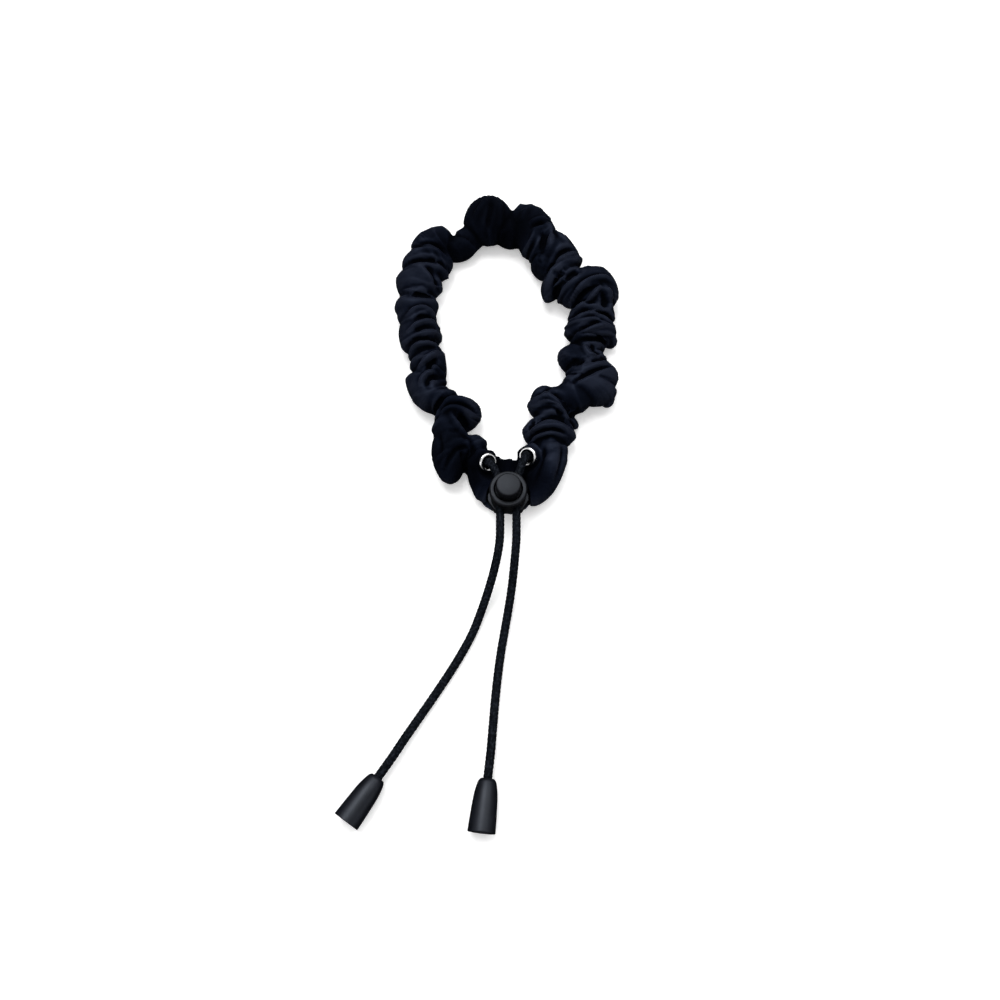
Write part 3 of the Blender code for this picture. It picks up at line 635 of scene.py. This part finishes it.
# Folds drawn on the puffs: three plan points in millimetres, half width, and rise above (or, where
# it is negative, depth below) the puff's own surface
FOLDS = (
    ((-34.5, 58.8), (-29.5, 59.2), (-24.0, 59.0), 1.0, -1.2),
    ((-34.5, 56.8), (-29.5, 57.6), (-25.0, 57.4), 0.8, 0.6),
    ((-32.0, 47.0), (-28.5, 51.0), (-24.0, 54.5), 1.0, 0.8),
    ((-28.5, 47.5), (-27.0, 49.2), (-24.5, 51.5), 1.2, -1.5),
    ((-27.0, 48.5), (-24.5, 47.5), (-22.0, 45.5), 0.8, 0.8),
    ((-28.0, 39.5), (-27.5, 43.0), (-24.0, 44.5), 1.1, -1.1),
    ((-30.5, 40.5), (-29.2, 44.5), (-26.0, 46.2), 0.8, 0.6),
    ((-26.5, 29.5), (-25.0, 32.5), (-21.0, 36.0), 1.3, -1.5),
    ((-24.5, 29.5), (-20.5, 34.3), (-11.5, 33.0), 0.9, 0.9),
    ((-22.5, 31.0), (-18.0, 32.7), (-11.0, 30.5), 0.7, -0.9),
    ((-23.5, 29.0), (-19.5, 31.2), (-14.0, 29.8), 0.7, 0.6),
    ((-17.5, 28.0), (-14.8, 26.8), (-12.0, 23.5), 1.4, -2.0),
    ((-19.5, 29.0), (-17.0, 25.0), (-12.5, 21.0), 1.1, 1.0),
    ((-15.0, 20.0), (-13.4, 15.5), (-12.6, 5.0), 1.1, 1.0),
    ((-15.6, 16.0), (-14.8, 11.5), (-14.2, 4.0), 1.0, -1.4),
    ((-24.5, 12.0), (-22.5, 14.0), (-20.0, 15.0), 0.8, 0.5),
    ((-21.0, 16.0), (-18.0, 18.6), (-14.5, 19.0), 1.2, 0.5),
    ((-13.5, 17.6), (-18.0, 15.2), (-21.5, 9.5), 0.9, -0.9),
    ((-23.6, 22.0), (-22.8, 18.0), (-22.6, 14.0), 0.9, -0.5),
    ((-36.5, 95.5), (-30.5, 96.6), (-22.5, 95.2), 1.2, 0.8),
    ((-32.0, 99.2), (-27.5, 99.0), (-22.5, 95.8), 0.8, -1.0),
    ((-37.5, 92.2), (-30.5, 92.2), (-22.0, 91.0), 1.1, -1.4),
    ((-30.5, 90.0), (-27.0, 86.5), (-25.0, 80.5), 1.1, -1.0),
    ((-35.5, 77.6), (-30.5, 78.2), (-26.5, 79.5), 1.4, -1.3),
    ((-36.0, 69.5), (-30.5, 72.2), (-26.5, 70.0), 1.0, 0.9),
    ((-33.0, 67.6), (-29.5, 68.8), (-27.0, 68.2), 0.9, -1.0),
    ((-35.5, 62.5), (-29.5, 66.4), (-26.0, 66.4), 0.9, 0.8),
    ((-33.0, 62.0), (-30.5, 63.8), (-26.5, 64.6), 0.9, -0.9),
    ((-21.0, 97.5), (-16.0, 97.4), (-11.5, 100.5), 1.0, 0.6),
    ((-3.5, 118.5), (-2.6, 112.0), (-3.5, 105.0), 1.2, 0.9),
    ((-8.0, 118.5), (-9.5, 115.5), (-12.5, 110.0), 1.2, 0.8),
    ((-6.0, 118.0), (-6.4, 112.5), (-8.0, 105.5), 1.1, -0.9),
    ((-1.2, 107.5), (-3.0, 104.0), (-5.5, 100.0), 1.0, 0.7),
    ((6.8, 115.0), (6.0, 111.5), (5.2, 108.0), 1.2, 0.7),
    ((8.5, 107.0), (11.5, 109.2), (15.0, 110.5), 0.7, 0.6),
    ((9.0, 105.4), (11.5, 107.0), (14.0, 108.2), 0.8, -1.1),
    ((14.0, 108.8), (16.2, 104.0), (15.2, 95.5), 1.4, 1.0),
    ((12.6, 104.0), (13.2, 100.0), (12.0, 95.0), 1.3, -0.9),
    ((17.0, 107.0), (19.6, 103.2), (23.0, 99.0), 1.2, 0.6),
    ((24.5, 97.2), (19.0, 93.6), (14.2, 86.0), 1.1, -1.5),
    ((24.8, 95.0), (16.8, 88.5), (13.6, 78.5), 1.5, 0.8),
    ((20.5, 87.0), (18.2, 83.5), (17.4, 78.0), 1.4, -1.6),
    ((21.0, 83.0), (23.2, 85.2), (26.0, 86.0), 1.3, -1.6),
    ((39.0, 83.0), (30.5, 82.2), (21.8, 74.5), 1.0, 1.2),
    ((33.5, 80.2), (29.0, 78.2), (24.5, 75.0), 1.1, -1.4),
    ((33.2, 79.5), (29.0, 74.6), (23.0, 70.8), 0.9, 1.1),
    ((36.0, 79.4), (37.4, 76.5), (37.2, 72.0), 0.9, 0.9),
    ((34.0, 77.5), (35.0, 75.0), (34.6, 72.0), 1.1, -0.8),
    ((24.0, 69.8), (31.0, 71.2), (38.5, 68.6), 1.1, -1.6),
    ((25.0, 68.0), (31.0, 69.4), (38.5, 66.8), 0.8, 0.7),
    ((25.0, 62.8), (29.5, 64.4), (33.5, 66.8), 1.2, -1.4),
    ((23.5, 60.2), (29.5, 63.0), (37.0, 65.0), 0.9, 0.9),
    ((24.5, 59.0), (31.5, 59.6), (39.0, 61.4), 1.0, -1.4),
    ((30.0, 58.0), (31.0, 55.0), (33.0, 53.0), 1.0, -0.9),
    ((27.2, 57.8), (28.4, 53.6), (31.5, 52.0), 0.9, 0.7),
    ((22.6, 48.6), (25.0, 49.4), (27.0, 49.0), 1.5, -2.2),
    ((23.0, 41.6), (29.5, 45.2), (36.5, 48.6), 1.0, -1.4),
    ((29.4, 48.8), (31.4, 50.4), (34.0, 50.6), 1.0, -1.0),
    ((14.5, 38.0), (19.5, 34.4), (24.5, 28.5), 1.5, -1.6),
    ((11.5, 34.0), (17.0, 32.4), (21.5, 26.5), 0.9, 1.0),
    ((16.5, 31.0), (18.4, 29.8), (20.6, 29.8), 0.9, -1.0),
    ((6.5, 24.0), (14.5, 28.2), (22.0, 25.6), 1.2, -1.6),
    ((6.5, 22.8), (13.5, 24.6), (20.5, 23.6), 0.7, 0.7),
    ((7.0, 21.4), (13.5, 23.2), (19.0, 22.4), 0.6, -0.7),
    ((7.0, 19.2), (12.0, 21.6), (20.0, 21.4), 0.7, 0.6),
    ((7.2, 18.4), (9.8, 17.2), (11.2, 13.0), 0.9, 0.7),
    ((15.6, 19.0), (15.2, 12.0), (13.0, 4.0), 2.4, 0.7),
    ((18.4, 18.0), (17.8, 11.5), (15.8, 5.5), 0.8, -0.5),
    ((12.6, 17.0), (11.2, 10.5), (8.8, 4.0), 0.9, -0.6),
    ((-11.0, 20.0), (-9.2, 13.0), (-7.6, 4.0), 1.8, 0.6),
)
# Patches of painted shade and painted light on the cloth's satin face, in millimetres: (x, y,
# reach, level), where 1 leaves the cloth's own colour, below 1 is painted shade and above 1 painted light
PAINTED_LIGHT_PATCHES = (
    (-7.0, 113.0, 11.0, 0.12), (2.0, 107.0, 8.0, 0.15), (9.0, 109.0, 8.0, 0.30), (-18.0, 101.0, 8.0, 0.25),
    (13.0, 94.0, 6.0, 0.45), (-20.0, 16.0, 11.0, 0.22), (-11.0, 9.0, 8.0, 0.05), (0.0, 14.0, 8.0, 0.05),
    (8.0, 7.0, 7.5, 0.10), (25.0, 34.0, 6.0, 0.45), (-20.0, 33.0, 7.0, 0.35), (25.0, 60.0, 6.0, 0.40),
    (24.0, 50.0, 5.0, 0.35), (-27.0, 99.0, 7.0, 0.50), (31.0, 47.0, 8.0, 1.50), (31.0, 66.0, 6.0, 1.30),
    (-28.0, 41.0, 7.0, 1.00), (31.0, 80.0, 8.0, 0.80), (15.0, 77.0, 7.0, 0.65), (-22.5, 46.0, 4.5, 0.40),
    (29.0, 56.0, 5.0, 1.40),
)
# Places where the cloth lies smooth, in millimetres: (x, y, reach)
CALM = (
    (-20.0, 16.0, 11.0), (13.5, 10.0, 11.0), (31.0, 43.0, 9.0), (-7.0, 113.0, 10.0), (8.0, 110.0, 6.0),
    (-29.0, 41.0, 6.5), (-2.0, 8.0, 8.0), (19.0, 97.0, 5.0), (-31.0, 86.0, 6.0), (27.0, 88.0, 6.0),
)
FOLD_TAPER = 0.22                   # share of a fold's length over which each end fades,
FOLD_END = 0.25                     # to this share of its height
FOLD_WRAP = 0.25                    # how far folds reach down the puffs' sides
CALMING = 0.72                      # share of the gathers lost where the cloth lies smooth
FLAT_PAINTED_LIGHT = 0.50                    # painted light level of cloth that is neither a ridge nor a crease
CREASE_RANGE = 0.375 * MM           # rise of a ridge that adds 1 to the cloth's painted light level
BRIGHTEST_PAINTED_HIGHLIGHT = 1.4
CREASE_ROUNDS = 36
SHARPENING = 0.9
SHARPENING_CAP = 0.45 * MM
BRIDGE_SHARE = 0.94                 # a bridge's size as a share of the smaller puff's
BRIDGE_WIDEST = 6.8
BRIDGE_OVERLAP = 3.0
PUFF_SINK = 0.08                    # share of a puff's height pressed flat on the floor
SEAT_REACH = 5.0
SEAT_DEPTH = 2.9
SEAT_BELOW = 2.2                    # from an eyelet down to the middle of its seat
SIMULATION_SCALE = 20.0             # the simulation's length units to a real one
SLEEVE_VOXEL = 0.70 * MM
CLOTH_FRAMES = 20
CLOTH_CAP = 1.0 * MM                # furthest that the simulation may move a point
FABRIC_THICKNESS = 0.35 * MM

# Gathers: rise in metres, and length in millimetres for each radian of their wave
FINE_RISE = 0.40 * MM
FINE_LENGTH = 0.72
BROAD_RISE = 0.50 * MM
BROAD_LENGTH = 1.35
GATHER_BASE = 0.4                   # share of a gather's rise that lies below the form's surface
GATHER_FOOT = 1.0                   # height in millimetres at which the gathers begin,
GATHER_FADE = 3.0                   # and how far above it they are full
SPINE_STEP = 0.8
# How the gathers wander and bunch, as sine waves: size, and radians to a millimetre along the
# sleeve, across it and up it
FINE_WANDER = ((0.9, 0.17, 0.42, 0.0), (0.7, 0.30, 0.0, 0.50))
BROAD_WANDER = ((1.2, -0.11, 0.30, 0.20),)
BUNCHES = ((1.0, 0.31, 0.12, 0.0), (0.35, 1.13, 0.0, 0.0))
BUNCH_BASE = 0.2

# Clearances of the cloth in millimetres
LOCK_REACH = 7.5                    # kept clear round the lock's axis,
LOCK_TRAVEL = 14.0                  # and for this length of its slide
LOCK_GAP = 0.45                     # more than the cloth is thick
LOCK_SLOPE = 2.2                    # rise to a run below which cloth drops under the lock
SEAT_EDGE = 6.2                     # distance from an eyelet's axis at which its flat seat begins,
SEAT_BLEND = 2.2                    # and how far in from there it is fully flat
SEAT_LEVELS = (-3.0, -0.4, 6.0)     # lowest, seat's own, and highest cloth that the seat flattens
CORD_GAP = 0.35
CORD_SPAN = (-8.0, 17.0)            # stretch along Y in which cloth may meet the free cords
FLOOR_GAP = 0.02
HOLE_RADIUS = 2.5
HOLE_DEPTH = 1.0


def add_ellipsoid(shape, matrix, detail):
    bmesh.ops.create_icosphere(shape, subdivisions=detail, radius=1.0, matrix=matrix)


def sized(x, y, z):
    """Matrix that stretches a unit ball to half sizes in millimetres."""
    return Matrix.Diagonal((x * MM, y * MM, z * MM, 1.0))


def half_across(puff, direction):
    """Half width of a puff's plan outline across a direction."""
    _, _, length, width, _, heading = puff
    turn = direction + 0.5 * math.pi - math.radians(heading)
    return math.hypot(length * math.cos(turn), width * math.sin(turn))


def bridge(here, there):
    """Ellipsoid that joins one puff to the next, so that the sleeve runs on between them."""
    gap_x, gap_y = there[0] - here[0], there[1] - here[1]
    direction = math.atan2(gap_y, gap_x)
    width = BRIDGE_SHARE * min(half_across(here, direction), half_across(there, direction),
                               BRIDGE_WIDEST)
    height = BRIDGE_SHARE * min(here[4], there[4])
    middle = place_of(0.5 * (here[0] + there[0]), 0.5 * (here[1] + there[1]), 0.5 * height)
    length = 0.5 * math.hypot(gap_x, gap_y) + BRIDGE_OVERLAP
    return (Matrix.Translation(middle) @ Matrix.Rotation(direction, 4, "Z")
            @ sized(length, width, 0.5 * height * (1.0 + PUFF_SINK)))


def sleeve_form():
    """Union of the puffs, their tips, the bridges between them and the eyelets' seats, remeshed
    into one skin, at simulation scale."""
    shape = bmesh.new()
    for x, y, length, width, height, heading in PUFFS + TIPS:
        sink = PUFF_SINK * height
        matrix = (Matrix.Translation(place_of(x, y, 0.5 * (height - sink)))
                  @ Matrix.Rotation(math.radians(heading), 4, "Z")
                  @ sized(length, width, 0.5 * (height + sink)))
        add_ellipsoid(shape, matrix, detail=5)
    for here, there in zip(PUFFS, PUFFS[1:] + PUFFS[:1]):
        add_ellipsoid(shape, bridge(here, there), detail=4)
    for centre, axis in EYELETS.values():
        seat = facing(centre - axis * SEAT_BELOW * MM, axis)
        add_ellipsoid(shape, seat @ sized(SEAT_REACH, SEAT_REACH, SEAT_DEPTH), detail=4)
    mesh = bpy.data.meshes.new("sleeve_form")
    shape.to_mesh(mesh)
    shape.free()
    mesh.transform(Matrix.Scale(SIMULATION_SCALE, 4))
    form = bpy.data.objects.new("sleeve_form", mesh)
    bpy.context.scene.collection.objects.link(form)
    remesh = form.modifiers.new("remesh", "REMESH")
    remesh.mode = "VOXEL"
    remesh.voxel_size = SLEEVE_VOXEL * SIMULATION_SCALE
    remesh.adaptivity = 0.0
    smooth = form.modifiers.new("soften", "SMOOTH")
    smooth.factor = 0.5
    smooth.iterations = 2
    return form


def settled(form):
    """Evaluated mesh of an object as a new mesh, its modifiers applied."""
    graph = bpy.context.evaluated_depsgraph_get()
    return bpy.data.meshes.new_from_object(form.evaluated_get(graph))


def settled_in_place(form):
    """Apply the object's modifiers to its own mesh."""
    mesh = settled(form)
    form.modifiers.clear()
    form.data = mesh
    return mesh


def points_of(mesh, value="co"):
    flat = np.empty(len(mesh.vertices) * 3)
    mesh.vertices.foreach_get(value, flat)
    return flat.reshape(-1, 3)


def normals_of(mesh):
    return points_of(mesh, "normal")


def plan_of(points):
    """Plan positions in millimetres from the lock's axis."""
    return (points[:, :2] - np.array([LOCK_X, LOCK_Y])) / MM


def move_points(mesh, points):
    mesh.vertices.foreach_set("co", np.ascontiguousarray(points, dtype=np.float32).ravel())
    mesh.update()


def billow(form):
    """Cloth simulation under slight pressure, which turns the union's creases into fabric folds."""
    start = points_of(settled_in_place(form))
    cloth = form.modifiers.new("cloth", "CLOTH")
    cloth.settings.quality = 6
    cloth.settings.mass = 0.25
    cloth.settings.tension_stiffness = 12.0
    cloth.settings.compression_stiffness = 12.0
    cloth.settings.shear_stiffness = 5.0
    cloth.settings.bending_stiffness = 0.06
    cloth.settings.shrink_min = -0.10
    cloth.settings.use_pressure = True
    cloth.settings.uniform_pressure_force = 1.5
    cloth.settings.effector_weights.gravity = 0.0
    cloth.collision_settings.use_collision = False
    cloth.point_cache.frame_start = 1
    cloth.point_cache.frame_end = CLOTH_FRAMES
    scene = bpy.context.scene
    for frame_number in range(1, CLOTH_FRAMES + 1):
        scene.frame_set(frame_number)
    end = points_of(settled(form))
    form.modifiers.remove(cloth)
    scene.frame_set(1)
    motion = end - start
    reach = np.linalg.norm(motion, axis=1, keepdims=True)
    cap = CLOTH_CAP * SIMULATION_SCALE
    motion *= np.where(reach > cap, cap / np.maximum(reach, 1e-9), 1.0)
    move_points(form.data, start + motion)


def clear_lock(points):
    """Cloth in the lock's way dropped under it or moved out beside it, all along its slide."""
    lock = np.array([LOCK_X, LOCK_Y, 0.0])
    local = (points - lock) / MM
    under = LOCK_BASE / MM - LOCK_GAP
    back = np.clip(local[:, 1], -LOCK_TRAVEL, 0.0)
    aside = np.stack([local[:, 0], local[:, 1] - back], axis=1)
    gap = np.linalg.norm(aside, axis=1)
    inside = (gap < LOCK_REACH) & (local[:, 2] > under)
    sideways = LOCK_REACH - gap
    go_down = inside & (local[:, 2] - under < LOCK_SLOPE * sideways)
    go_out = inside & ~go_down
    local[go_down, 2] = under
    local[go_out, :2] += aside[go_out] / gap[go_out, None] * sideways[go_out, None]
    return local * MM + lock


def seat_eyelet(points, centre, axis):
    """Cloth round an eyelet pressed flat under its flange."""
    centre, axis = np.array(centre), np.array(axis)
    offset = points - centre
    height = offset @ axis
    radial = np.linalg.norm(offset - height[:, None] * axis, axis=1)
    low, level, high = (value * MM for value in SEAT_LEVELS)
    near = (radial < SEAT_EDGE * MM) & (height > low) & (height < high)
    blend = np.clip((SEAT_EDGE * MM - radial) / (SEAT_BLEND * MM), 0.0, 1.0)
    blend = blend * blend * (3.0 - 2.0 * blend)
    drop = np.maximum(height, level)[:, None] * blend[:, None] * axis
    return np.where(near[:, None], points - drop, points)


def clear_cord(points, path):
    """Cloth moved off a free cord."""
    seen = even_steps(path[TAIL_OUTSIDE:], 0.5 * MM)
    low, high = (LOCK_Y + value * MM for value in CORD_SPAN)
    close = np.where((points[:, 1] < high) & (points[:, 1] > low))[0]
    clear = 0.5 * CORD_DIAMETER + CORD_GAP * MM
    offset = points[close, None, :] - seen[None, :, :]
    distance = np.linalg.norm(offset, axis=2)
    nearest = distance.argmin(axis=1)
    row = np.arange(len(close))
    short = distance[row, nearest] < clear
    way = offset[row, nearest]
    way /= np.maximum(np.linalg.norm(way, axis=1, keepdims=True), 1e-9)
    points[close[short]] = seen[nearest[short]] + way[short] * clear
    return points


def keep_clear(points, paths):
    """Cloth held on the floor, under the lock, below the eyelets and off the free cords."""
    points = clear_lock(points)
    for centre, axis in EYELETS.values():
        points = seat_eyelet(points, centre, axis)
    for path in paths:
        points = clear_cord(points, path)
    points[:, 2] = np.maximum(points[:, 2], GROUND + FLOOR_GAP * MM)
    return points


def bowed(start, middle, end, count=28):
    """Points of the parabola through three points."""
    start, middle, end = np.array(start), np.array(middle), np.array(end)
    t = np.linspace(0.0, 1.0, count)[:, None]
    control = 2.0 * middle - 0.5 * (start + end)
    return start * (1 - t) ** 2 + control * 2 * t * (1 - t) + end * t ** 2


def draw_folds(points, normals):
    """Raise the ridges and sink the creases along the surface's own normals."""
    plan = plan_of(points)
    facing_up = np.clip(normals[:, 2] + FOLD_WRAP, 0.0, 1.0)
    rise = np.zeros(len(points))
    for start, middle, end, width, height in FOLDS:
        line = bowed(start, middle, end)
        low, high = line.min(axis=0) - 3.0 * width, line.max(axis=0) + 3.0 * width
        close = np.where(((plan > low) & (plan < high)).all(axis=1))[0]
        gap = np.linalg.norm(plan[close, None, :] - line[None, :, :], axis=2)
        nearest = gap.argmin(axis=1)
        along = nearest / (len(line) - 1)
        taper = np.clip(np.minimum(along, 1.0 - along) / FOLD_TAPER, 0.0, 1.0)
        profile = np.exp(-(gap.min(axis=1) / width) ** 2) * (FOLD_END + (1.0 - FOLD_END) * taper)
        rise[close] += height * MM * profile * facing_up[close]
    return points + normals * rise[:, None]


def waves(table, along, across, up):
    """Sum of sine waves, each with its size and its radians to a millimetre each way."""
    return sum(size * np.sin(a * along + b * across + c * up) for size, a, b, c in table)


def nearness(plan, x, y, reach):
    """1 within reach of a plan position, fading to 0 beyond it."""
    gap = np.hypot(plan[:, 0] - x, plan[:, 1] - y) / reach
    return np.exp(-gap ** 4)


def along_and_across(plan):
    """Distance of each plan position along the sleeve's middle line, and across it."""
    closed = [(x, y, 0.0) for x, y in SPINE + SPINE[:1]]
    line = even_steps(catmull_rom(closed, 12), SPINE_STEP)[:, :2]
    heading = np.gradient(line, axis=0)
    heading /= np.linalg.norm(heading, axis=1, keepdims=True)
    nearest = np.empty(len(plan), dtype=int)
    batch = 8000
    for start in range(0, len(plan), batch):
        piece = plan[start:start + batch]
        nearest[start:start + batch] = ((piece[:, None, :] - line[None]) ** 2).sum(axis=2).argmin(axis=1)
    offset, heading = plan - line[nearest], heading[nearest]
    along = SPINE_STEP * nearest + (offset * heading).sum(axis=1)
    return along, offset[:, 1] * heading[:, 0] - offset[:, 0] * heading[:, 1]


def gather(points, normals):
    """Fine wrinkles across the sleeve, in bunches, as the drawcord makes them."""
    plan = plan_of(points)
    along, across = along_and_across(plan)
    height = points[:, 2] / MM
    fine = along / FINE_LENGTH + waves(FINE_WANDER, along, across, height)
    broad = along / BROAD_LENGTH + waves(BROAD_WANDER, along, across, height)
    bunch = np.clip(waves(BUNCHES, along, across, height) + BUNCH_BASE, 0.0, 1.0)
    ridge = 1.0 - np.abs(np.sin(0.5 * fine)) ** 0.8
    swell = 1.0 - np.abs(np.sin(0.5 * broad))
    lively = np.clip((height - GATHER_FOOT) / GATHER_FADE, 0.0, 1.0)
    for x, y, reach in CALM:
        lively *= 1.0 - CALMING * nearness(plan, x, y, reach)
    rise = FINE_RISE * (ridge - GATHER_BASE) * bunch + BROAD_RISE * (swell - GATHER_BASE)
    return points + normals * (rise * lively)[:, None]


def relaxed(mesh, points, rounds):
    """Points averaged with their neighbours, round after round."""
    ends = np.empty(len(mesh.edges) * 2, dtype=np.int32)
    mesh.edges.foreach_get("vertices", ends)
    first, second = ends.reshape(-1, 2).T
    total = len(points)
    neighbours = np.bincount(first, minlength=total) + np.bincount(second, minlength=total)
    for _ in range(rounds):
        summed = np.stack([np.bincount(first, points[second, k], total)
                           + np.bincount(second, points[first, k], total) for k in range(3)], axis=1)
        points = 0.5 * (points + summed / neighbours[:, None])
    return points


def relief_of(mesh):
    """Height of each point above the surface's own smoothed form: ridges above 0, creases below."""
    points = points_of(mesh)
    return ((points - relaxed(mesh, points, CREASE_ROUNDS)) * normals_of(mesh)).sum(axis=1)


def sharpen(mesh):
    """Draw the ridges and creases out, as thin cloth creases more sharply than a soft form."""
    step = np.clip(SHARPENING * relief_of(mesh), -SHARPENING_CAP, SHARPENING_CAP)
    return points_of(mesh) + normals_of(mesh) * step[:, None]


def shade_cloth(mesh):
    """Store the cloth's painted light: painted shade in its creases, painted highlights on its ridges, and
    patches of painted shade and painted light.
    """
    plan = plan_of(points_of(mesh))
    # Painted shade in the creases and painted highlights on the ridges, from the cloth's relief
    painted_light = np.clip(FLAT_PAINTED_LIGHT + relief_of(mesh) / CREASE_RANGE, 0.0, BRIGHTEST_PAINTED_HIGHLIGHT)
    # Patches of painted shade and painted light laid over the creases and ridges
    for x, y, reach, level in PAINTED_LIGHT_PATCHES:
        painted_light *= 1.0 + (level - 1.0) * nearness(plan, x, y, reach)
    layer = mesh.attributes.new("painted_light", "FLOAT", "POINT")
    layer.data.foreach_set("value", painted_light.astype(np.float32))


def open_eyelet_holes(mesh):
    """Cloth cut out where the cord passes through it."""
    shape = bmesh.new()
    shape.from_mesh(mesh)
    doomed = []
    for face in shape.faces:
        middle = face.calc_center_median()
        for centre, axis in EYELETS.values():
            offset = middle - centre
            height = offset.dot(axis)
            radial = (offset - axis * height).length
            if abs(height) < HOLE_DEPTH * MM and radial < HOLE_RADIUS * MM:
                doomed.append(face)
    bmesh.ops.delete(shape, geom=doomed, context="FACES")
    shape.to_mesh(mesh)
    shape.free()


def make_sleeve(paths):
    """Gathered tube of cloth, from its plain form to its creases, gathers and thickness."""
    form = sleeve_form()
    settled_in_place(form)
    billow(form)
    mesh = form.data
    move_points(mesh, points_of(mesh) / SIMULATION_SCALE)
    fine = form.modifiers.new("fine", "SUBSURF")
    fine.levels = 1
    mesh = settled_in_place(form)
    move_points(mesh, gather(points_of(mesh), normals_of(mesh)))
    move_points(mesh, draw_folds(points_of(mesh), normals_of(mesh)))
    move_points(mesh, sharpen(mesh))
    move_points(mesh, keep_clear(points_of(mesh), paths))
    shade_cloth(mesh)
    open_eyelet_holes(mesh)
    mesh.materials.clear()
    mesh.materials.append(FABRIC)
    mesh.shade_smooth()
    form.name = "sleeve_gathered"
    thick = form.modifiers.new("fabric_thickness", "SOLIDIFY")
    thick.thickness = FABRIC_THICKNESS
    thick.offset = -1.0
    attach(form, "loop")
    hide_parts("sleeve")
    return form


# ---------------------------------------------------------------- cord lock

EASED_EDGE = 0.15 * MM


def finish_cad_node(name, finish, edge=0.0):
    """Better material on a CAD node, with its sharp edges eased."""
    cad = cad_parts[name]
    cad.data.materials.clear()
    cad.data.materials.append(finish)
    cad.data.shade_smooth()
    weld = cad.modifiers.new("weld", "WELD")
    weld.merge_threshold = 0.00001
    if edge:
        ease = cad.modifiers.new("eased_edges", "BEVEL")
        ease.width = edge
        ease.segments = 3
        ease.limit_method = "ANGLE"
        ease.angle_limit = math.radians(30.0)
        ease.harden_normals = True


SPRING_WIRE = 0.22 * MM             # radius of the wire
SPRING_TURNS = 2.5
SPRING_STEPS = 101
SPRING_SIDES = 12


def make_spring():
    """Wire coil under the button's foot bar."""
    low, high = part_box("lock_spring")
    coil_radius = 0.5 * (high.x - low.x) - SPRING_WIRE
    turns = np.linspace(0.0, 2.0 * math.pi * SPRING_TURNS, SPRING_STEPS)
    rise = np.linspace(low.z + SPRING_WIRE, high.z - SPRING_WIRE, SPRING_STEPS)
    path = np.stack([LOCK_X + coil_radius * np.cos(turns), LOCK_Y + coil_radius * np.sin(turns), rise],
                    axis=1)
    mesh = outward(skin("lock_spring_coil", tube_rings(path, round_angles(SPRING_SIDES), SPRING_WIRE)))
    spring = new_object("lock_spring_coil", mesh, STEEL, math.radians(80.0))
    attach(spring, "cord_lock")
    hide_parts("lock_spring")
    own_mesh(spring)


make_camera()
make_studio()
paths = []
for side in ("left", "right"):
    tail, path = make_tail(side)
    paths.append(path)
    knot = make_knot(side)
    bell = make_bell(side)
    make_eyelet(side)
finish_cad_node("lock_body", LOCK_PLASTIC, EASED_EDGE)
finish_cad_node("lock_plunger", LOCK_PLASTIC, EASED_EDGE)
make_spring()
finish_cad_node("drawcord_in_sleeve", BRAID)
for side in ("left", "right"):
    finish_cad_node(side + "_eyelet_washer", CHROME)
sleeve = make_sleeve(paths)
